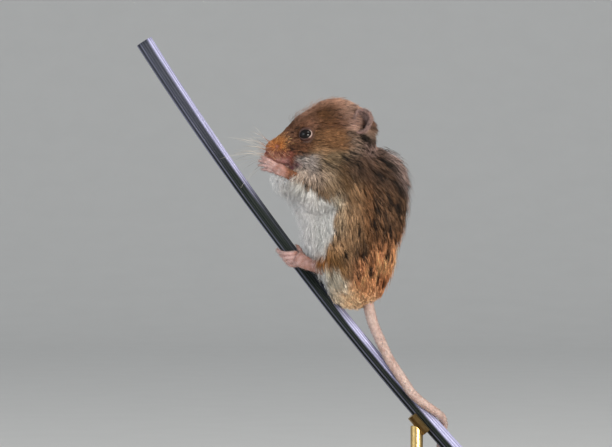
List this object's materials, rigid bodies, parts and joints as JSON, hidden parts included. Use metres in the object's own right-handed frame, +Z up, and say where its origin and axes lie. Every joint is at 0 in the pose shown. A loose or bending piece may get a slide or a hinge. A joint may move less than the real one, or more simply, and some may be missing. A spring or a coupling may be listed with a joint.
{
  "type": "harvest mouse on a stem",
  "caption": "Life-size still model of a harvest mouse sitting upright on a cut plant stem, hands at its mouth and tail round the stem, on a plain flat base.",
  "frame": {"origin": "centre of the base's underside", "axes": "+Z up, -X the way the mouse faces, -Y its left side"},
  "size_m": [0.077, 0.044, 0.0938],
  "materials": {
    "fur": "short dense fur, golden brown above and white below",
    "bare_skin": "soft pink skin, finely scaled on the tail",
    "eye": "glossy black",
    "stem": "dry ribbed plant stalk, satin",
    "base_wood": "dark wood, satin lacquer",
    "rod_brass": "brushed"
  },
  "bodies": {
    "root": {"ear_left": "bare_skin", "ear_right": "bare_skin", "eye_left": "eye", "eye_right": "eye", "forefoot_left": "bare_skin", "forefoot_right": "bare_skin", "foreleg_left": "bare_skin", "foreleg_right": "bare_skin", "head": "fur", "hindfoot_left": "bare_skin", "hindfoot_right": "bare_skin", "hindleg_left": "fur", "hindleg_right": "fur", "stand_base": "base_wood", "stand_rod": "rod_brass", "stem": "stem", "tail_1": "bare_skin", "tail_2": "bare_skin", "tail_3": "bare_skin", "tail_4": "bare_skin", "tail_5": "bare_skin", "tail_6": "bare_skin", "torso": "fur"}
  },
  "joints": []
}
